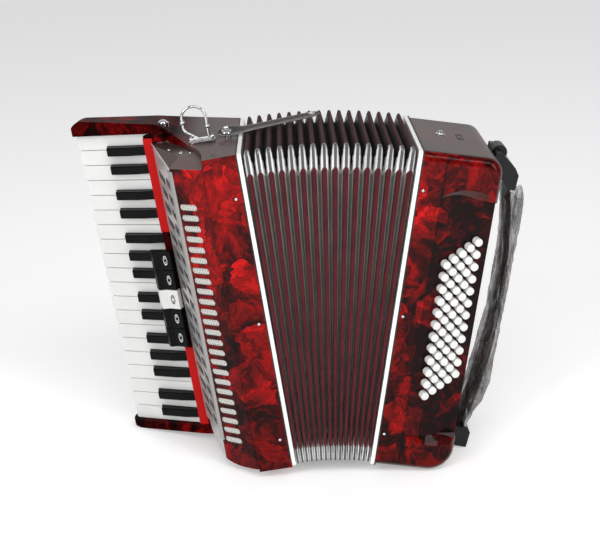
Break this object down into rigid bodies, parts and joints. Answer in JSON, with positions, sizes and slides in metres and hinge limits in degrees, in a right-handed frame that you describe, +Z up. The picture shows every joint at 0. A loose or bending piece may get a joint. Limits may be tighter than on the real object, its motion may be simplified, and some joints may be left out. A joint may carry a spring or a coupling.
{
  "type": "piano accordion",
  "caption": "Piano accordion standing with its bellows fanned open: keyboard with register switches, grille, pleated bellows, button board and straps.",
  "frame": {"origin": "middle of the standing accordion's bounding box, on the surface it stands on", "axes": "+Z up; +X from the keyboard to the bass strap; +Y from the front, with grille and buttons, to the player"},
  "size_m": [0.5274, 0.1944, 0.4381],
  "materials": {
    "pearl_red": "polished marbled celluloid",
    "ivory_white": "polished",
    "key_black": "polished",
    "frame_white": "semi-gloss",
    "chrome": "bright",
    "steel": "satin",
    "reed_wood": "sanded",
    "pleat_black": "glossy bellows cloth",
    "tape_red": "woven edge tape",
    "strap_leather": "black, stitched",
    "plastic_black": "moulded",
    "grille_silver": "woven mesh",
    "film_clear": "clear crumpled film"
  },
  "bodies": {
    "treble": {"treble_case": "pearl_red", "key_axle": "steel", "grille_cover": "pearl_red", "treble_reed_blocks": "reed_wood", "treble_frame": "frame_white", "bellows": "pleat_black", "strap_hardware": "chrome"},
    "white_key_01": {"white_key_01": "ivory_white"},
    "black_key_01": {"black_key_01": "key_black"},
    "white_key_02": {"white_key_02": "ivory_white"},
    "black_key_02": {"black_key_02": "key_black"},
    "white_key_03": {"white_key_03": "ivory_white"},
    "white_key_04": {"white_key_04": "ivory_white"},
    "black_key_03": {"black_key_03": "key_black"},
    "white_key_05": {"white_key_05": "ivory_white"},
    "black_key_04": {"black_key_04": "key_black"},
    "white_key_06": {"white_key_06": "ivory_white"},
    "white_key_07": {"white_key_07": "ivory_white"},
    "black_key_05": {"black_key_05": "key_black"},
    "white_key_08": {"white_key_08": "ivory_white"},
    "black_key_06": {"black_key_06": "key_black"},
    "white_key_09": {"white_key_09": "ivory_white"},
    "black_key_07": {"black_key_07": "key_black"},
    "white_key_10": {"white_key_10": "ivory_white"},
    "white_key_11": {"white_key_11": "ivory_white"},
    "black_key_08": {"black_key_08": "key_black"},
    "white_key_12": {"white_key_12": "ivory_white"},
    "black_key_09": {"black_key_09": "key_black"},
    "white_key_13": {"white_key_13": "ivory_white"},
    "white_key_14": {"white_key_14": "ivory_white"},
    "black_key_10": {"black_key_10": "key_black"},
    "white_key_15": {"white_key_15": "ivory_white"},
    "black_key_11": {"black_key_11": "key_black"},
    "white_key_16": {"white_key_16": "ivory_white"},
    "black_key_12": {"black_key_12": "key_black"},
    "white_key_17": {"white_key_17": "ivory_white"},
    "white_key_18": {"white_key_18": "ivory_white"},
    "black_key_13": {"black_key_13": "key_black"},
    "white_key_19": {"white_key_19": "ivory_white"},
    "black_key_14": {"black_key_14": "key_black"},
    "white_key_20": {"white_key_20": "ivory_white"},
    "register_switch_1": {"register_switch_1": "plastic_black"},
    "register_switch_2": {"register_switch_2": "plastic_black"},
    "register_switch_3": {"register_switch_3": "ivory_white"},
    "register_switch_4": {"register_switch_4": "plastic_black"},
    "register_switch_5": {"register_switch_5": "plastic_black"},
    "strap_loop": {"strap_loop": "chrome"},
    "bellows_strap": {"bellows_strap": "strap_leather"},
    "bass": {"bass_frame": "frame_white", "bass_case": "pearl_red", "bass_reed_blocks": "reed_wood", "bass_strap": "strap_leather", "bass_strap_brackets": "plastic_black"},
    "bass_buttons_row_1": {"bass_buttons_row_1": "ivory_white"},
    "bass_buttons_row_2": {"bass_buttons_row_2": "ivory_white"},
    "bass_buttons_row_3": {"bass_buttons_row_3": "ivory_white"},
    "bass_buttons_row_4": {"bass_buttons_row_4": "ivory_white"},
    "bass_buttons_row_5": {"bass_buttons_row_5": "ivory_white"},
    "bass_strap_knob": {"bass_strap_knob": "plastic_black"},
    "air_button": {"air_button": "ivory_white"}
  },
  "joints": [
    {"name": "white_key_01_press", "type": "hinge", "parent": "treble", "child": "white_key_01", "pos_m": [-0.14844, 0.01907, 0.39267], "axis": [0.1271, 0, -0.9919], "range_deg": [0, 2], "stiffness_Nm_per_rad": 1.2, "springref_deg": -3.44},
    {"name": "black_key_01_press", "type": "hinge", "parent": "treble", "child": "black_key_01", "pos_m": [-0.14723, 0.01907, 0.38325], "axis": [0.1271, 0, -0.9919], "range_deg": [0, 2], "stiffness_Nm_per_rad": 1.2, "springref_deg": -3.44},
    {"name": "white_key_02_press", "type": "hinge", "parent": "treble", "child": "white_key_02", "pos_m": [-0.14602, 0.01907, 0.37383], "axis": [0.1271, 0, -0.9919], "range_deg": [0, 2], "stiffness_Nm_per_rad": 1.2, "springref_deg": -3.44},
    {"name": "black_key_02_press", "type": "hinge", "parent": "treble", "child": "black_key_02", "pos_m": [-0.14481, 0.01907, 0.3644], "axis": [0.1271, 0, -0.9919], "range_deg": [0, 2], "stiffness_Nm_per_rad": 1.2, "springref_deg": -3.44},
    {"name": "white_key_03_press", "type": "hinge", "parent": "treble", "child": "white_key_03", "pos_m": [-0.14361, 0.01907, 0.35498], "axis": [0.1271, 0, -0.9919], "range_deg": [0, 2], "stiffness_Nm_per_rad": 1.2, "springref_deg": -3.44},
    {"name": "white_key_04_press", "type": "hinge", "parent": "treble", "child": "white_key_04", "pos_m": [-0.14119, 0.01907, 0.33613], "axis": [0.1271, 0, -0.9919], "range_deg": [0, 2], "stiffness_Nm_per_rad": 1.2, "springref_deg": -3.44},
    {"name": "black_key_03_press", "type": "hinge", "parent": "treble", "child": "black_key_03", "pos_m": [-0.13999, 0.01907, 0.32671], "axis": [0.1271, 0, -0.9919], "range_deg": [0, 2], "stiffness_Nm_per_rad": 1.2, "springref_deg": -3.44},
    {"name": "white_key_05_press", "type": "hinge", "parent": "treble", "child": "white_key_05", "pos_m": [-0.13878, 0.01907, 0.31729], "axis": [0.1271, 0, -0.9919], "range_deg": [0, 2], "stiffness_Nm_per_rad": 1.2, "springref_deg": -3.44},
    {"name": "black_key_04_press", "type": "hinge", "parent": "treble", "child": "black_key_04", "pos_m": [-0.13757, 0.01907, 0.30786], "axis": [0.1271, 0, -0.9919], "range_deg": [0, 2], "stiffness_Nm_per_rad": 1.2, "springref_deg": -3.44},
    {"name": "white_key_06_press", "type": "hinge", "parent": "treble", "child": "white_key_06", "pos_m": [-0.13636, 0.01907, 0.29844], "axis": [0.1271, 0, -0.9919], "range_deg": [0, 2], "stiffness_Nm_per_rad": 1.2, "springref_deg": -3.44},
    {"name": "white_key_07_press", "type": "hinge", "parent": "treble", "child": "white_key_07", "pos_m": [-0.13395, 0.01907, 0.27959], "axis": [0.1271, 0, -0.9919], "range_deg": [0, 2], "stiffness_Nm_per_rad": 1.2, "springref_deg": -3.44},
    {"name": "black_key_05_press", "type": "hinge", "parent": "treble", "child": "black_key_05", "pos_m": [-0.13274, 0.01907, 0.27017], "axis": [0.1271, 0, -0.9919], "range_deg": [0, 2], "stiffness_Nm_per_rad": 1.2, "springref_deg": -3.44},
    {"name": "white_key_08_press", "type": "hinge", "parent": "treble", "child": "white_key_08", "pos_m": [-0.13154, 0.01907, 0.26075], "axis": [0.1271, 0, -0.9919], "range_deg": [0, 2], "stiffness_Nm_per_rad": 1.2, "springref_deg": -3.44},
    {"name": "black_key_06_press", "type": "hinge", "parent": "treble", "child": "black_key_06", "pos_m": [-0.13033, 0.01907, 0.25133], "axis": [0.1271, 0, -0.9919], "range_deg": [0, 2], "stiffness_Nm_per_rad": 1.2, "springref_deg": -3.44},
    {"name": "white_key_09_press", "type": "hinge", "parent": "treble", "child": "white_key_09", "pos_m": [-0.12912, 0.01907, 0.2419], "axis": [0.1271, 0, -0.9919], "range_deg": [0, 2], "stiffness_Nm_per_rad": 1.2, "springref_deg": -3.44},
    {"name": "black_key_07_press", "type": "hinge", "parent": "treble", "child": "black_key_07", "pos_m": [-0.12792, 0.01907, 0.23248], "axis": [0.1271, 0, -0.9919], "range_deg": [0, 2], "stiffness_Nm_per_rad": 1.2, "springref_deg": -3.44},
    {"name": "white_key_10_press", "type": "hinge", "parent": "treble", "child": "white_key_10", "pos_m": [-0.12671, 0.01907, 0.22306], "axis": [0.1271, 0, -0.9919], "range_deg": [0, 2], "stiffness_Nm_per_rad": 1.2, "springref_deg": -3.44},
    {"name": "white_key_11_press", "type": "hinge", "parent": "treble", "child": "white_key_11", "pos_m": [-0.12429, 0.01907, 0.20421], "axis": [0.1271, 0, -0.9919], "range_deg": [0, 2], "stiffness_Nm_per_rad": 1.2, "springref_deg": -3.44},
    {"name": "black_key_08_press", "type": "hinge", "parent": "treble", "child": "black_key_08", "pos_m": [-0.12309, 0.01907, 0.19479], "axis": [0.1271, 0, -0.9919], "range_deg": [0, 2], "stiffness_Nm_per_rad": 1.2, "springref_deg": -3.44},
    {"name": "white_key_12_press", "type": "hinge", "parent": "treble", "child": "white_key_12", "pos_m": [-0.12188, 0.01907, 0.18537], "axis": [0.1271, 0, -0.9919], "range_deg": [0, 2], "stiffness_Nm_per_rad": 1.2, "springref_deg": -3.44},
    {"name": "black_key_09_press", "type": "hinge", "parent": "treble", "child": "black_key_09", "pos_m": [-0.12067, 0.01907, 0.17594], "axis": [0.1271, 0, -0.9919], "range_deg": [0, 2], "stiffness_Nm_per_rad": 1.2, "springref_deg": -3.44},
    {"name": "white_key_13_press", "type": "hinge", "parent": "treble", "child": "white_key_13", "pos_m": [-0.11947, 0.01907, 0.16652], "axis": [0.1271, 0, -0.9919], "range_deg": [0, 2], "stiffness_Nm_per_rad": 1.2, "springref_deg": -3.44},
    {"name": "white_key_14_press", "type": "hinge", "parent": "treble", "child": "white_key_14", "pos_m": [-0.11705, 0.01907, 0.14767], "axis": [0.1271, 0, -0.9919], "range_deg": [0, 2], "stiffness_Nm_per_rad": 1.2, "springref_deg": -3.44},
    {"name": "black_key_10_press", "type": "hinge", "parent": "treble", "child": "black_key_10", "pos_m": [-0.11584, 0.01907, 0.13825], "axis": [0.1271, 0, -0.9919], "range_deg": [0, 2], "stiffness_Nm_per_rad": 1.2, "springref_deg": -3.44},
    {"name": "white_key_15_press", "type": "hinge", "parent": "treble", "child": "white_key_15", "pos_m": [-0.11464, 0.01907, 0.12883], "axis": [0.1271, 0, -0.9919], "range_deg": [0, 2], "stiffness_Nm_per_rad": 1.2, "springref_deg": -3.44},
    {"name": "black_key_11_press", "type": "hinge", "parent": "treble", "child": "black_key_11", "pos_m": [-0.11343, 0.01907, 0.1194], "axis": [0.1271, 0, -0.9919], "range_deg": [0, 2], "stiffness_Nm_per_rad": 1.2, "springref_deg": -3.44},
    {"name": "white_key_16_press", "type": "hinge", "parent": "treble", "child": "white_key_16", "pos_m": [-0.11222, 0.01907, 0.10998], "axis": [0.1271, 0, -0.9919], "range_deg": [0, 2], "stiffness_Nm_per_rad": 1.2, "springref_deg": -3.44},
    {"name": "black_key_12_press", "type": "hinge", "parent": "treble", "child": "black_key_12", "pos_m": [-0.11102, 0.01907, 0.10056], "axis": [0.1271, 0, -0.9919], "range_deg": [0, 2], "stiffness_Nm_per_rad": 1.2, "springref_deg": -3.44},
    {"name": "white_key_17_press", "type": "hinge", "parent": "treble", "child": "white_key_17", "pos_m": [-0.10981, 0.01907, 0.09113], "axis": [0.1271, 0, -0.9919], "range_deg": [0, 2], "stiffness_Nm_per_rad": 1.2, "springref_deg": -3.44},
    {"name": "white_key_18_press", "type": "hinge", "parent": "treble", "child": "white_key_18", "pos_m": [-0.10739, 0.01907, 0.07229], "axis": [0.1271, 0, -0.9919], "range_deg": [0, 2], "stiffness_Nm_per_rad": 1.2, "springref_deg": -3.44},
    {"name": "black_key_13_press", "type": "hinge", "parent": "treble", "child": "black_key_13", "pos_m": [-0.10619, 0.01907, 0.06287], "axis": [0.1271, 0, -0.9919], "range_deg": [0, 2], "stiffness_Nm_per_rad": 1.2, "springref_deg": -3.44},
    {"name": "white_key_19_press", "type": "hinge", "parent": "treble", "child": "white_key_19", "pos_m": [-0.10498, 0.01907, 0.05344], "axis": [0.1271, 0, -0.9919], "range_deg": [0, 2], "stiffness_Nm_per_rad": 1.2, "springref_deg": -3.44},
    {"name": "black_key_14_press", "type": "hinge", "parent": "treble", "child": "black_key_14", "pos_m": [-0.10377, 0.01907, 0.04402], "axis": [0.1271, 0, -0.9919], "range_deg": [0, 2], "stiffness_Nm_per_rad": 1.2, "springref_deg": -3.44},
    {"name": "white_key_20_press", "type": "hinge", "parent": "treble", "child": "white_key_20", "pos_m": [-0.10257, 0.01907, 0.0346], "axis": [0.1271, 0, -0.9919], "range_deg": [0, 2], "stiffness_Nm_per_rad": 1.2, "springref_deg": -3.44},
    {"name": "register_switch_1_press", "type": "hinge", "parent": "treble", "child": "register_switch_1", "pos_m": [-0.1449, 0.00436, 0.24845], "axis": [0.1271, 0, -0.9919], "range_deg": [0, 6], "stiffness_Nm_per_rad": 0.8, "springref_deg": -5.73},
    {"name": "register_switch_2_press", "type": "hinge", "parent": "treble", "child": "register_switch_2", "pos_m": [-0.1417, 0.00436, 0.22346], "axis": [0.1271, 0, -0.9919], "range_deg": [0, 6], "stiffness_Nm_per_rad": 0.8, "springref_deg": -5.73},
    {"name": "register_switch_3_press", "type": "hinge", "parent": "treble", "child": "register_switch_3", "pos_m": [-0.13849, 0.00436, 0.19846], "axis": [0.1271, 0, -0.9919], "range_deg": [0, 6], "stiffness_Nm_per_rad": 0.8, "springref_deg": -5.73},
    {"name": "register_switch_4_press", "type": "hinge", "parent": "treble", "child": "register_switch_4", "pos_m": [-0.13529, 0.00436, 0.17347], "axis": [0.1271, 0, -0.9919], "range_deg": [0, 6], "stiffness_Nm_per_rad": 0.8, "springref_deg": -5.73},
    {"name": "register_switch_5_press", "type": "hinge", "parent": "treble", "child": "register_switch_5", "pos_m": [-0.13209, 0.00436, 0.14847], "axis": [0.1271, 0, -0.9919], "range_deg": [0, 6], "stiffness_Nm_per_rad": 0.8, "springref_deg": -5.73},
    {"name": "strap_loop_tilt", "type": "hinge", "parent": "treble", "child": "strap_loop", "pos_m": [-0.10002, -0.01478, 0.39938], "axis": [0.9919, 0, 0.1271], "range_deg": [-70, 70]},
    {"name": "bellows_strap_swing", "type": "hinge", "parent": "treble", "child": "bellows_strap", "pos_m": [-0.07069, -0.00278, 0.3987], "axis": [-0.1271, 0, 0.9919], "range_deg": [-15, 40]},
    {"name": "bellows_fan", "type": "hinge", "parent": "treble", "child": "bass", "pos_m": [0.03533, 0.00222, 0.00941], "axis": [0, 1, 0], "range_deg": [-16.18, 12], "deforming": ["bellows"]},
    {"name": "bass_buttons_row_1_press", "type": "slide", "parent": "bass", "child": "bass_buttons_row_1", "axis": [-0.2618, 0.9643, 0.0409], "range_m": [0, 0.004], "stiffness_N_per_m": 300, "springref_m": -0.004},
    {"name": "bass_buttons_row_2_press", "type": "slide", "parent": "bass", "child": "bass_buttons_row_2", "axis": [-0.2618, 0.9643, 0.0409], "range_m": [0, 0.004], "stiffness_N_per_m": 300, "springref_m": -0.004},
    {"name": "bass_buttons_row_3_press", "type": "slide", "parent": "bass", "child": "bass_buttons_row_3", "axis": [-0.2618, 0.9643, 0.0409], "range_m": [0, 0.004], "stiffness_N_per_m": 300, "springref_m": -0.004},
    {"name": "bass_buttons_row_4_press", "type": "slide", "parent": "bass", "child": "bass_buttons_row_4", "axis": [-0.2618, 0.9643, 0.0409], "range_m": [0, 0.004], "stiffness_N_per_m": 300, "springref_m": -0.004},
    {"name": "bass_buttons_row_5_press", "type": "slide", "parent": "bass", "child": "bass_buttons_row_5", "axis": [-0.2618, 0.9643, 0.0409], "range_m": [0, 0.004], "stiffness_N_per_m": 300, "springref_m": -0.004},
    {"name": "bass_strap_knob_turn", "type": "hinge", "parent": "bass", "child": "bass_strap_knob", "pos_m": [0.24414, 0.00222, 0.36899], "axis": [0, 1, 0], "continuous": true},
    {"name": "air_button_press", "type": "slide", "parent": "bass", "child": "air_button", "axis": [-0.988, 0, 0.1544], "range_m": [0, 0.003], "stiffness_N_per_m": 150, "springref_m": -0.003}
  ]
}
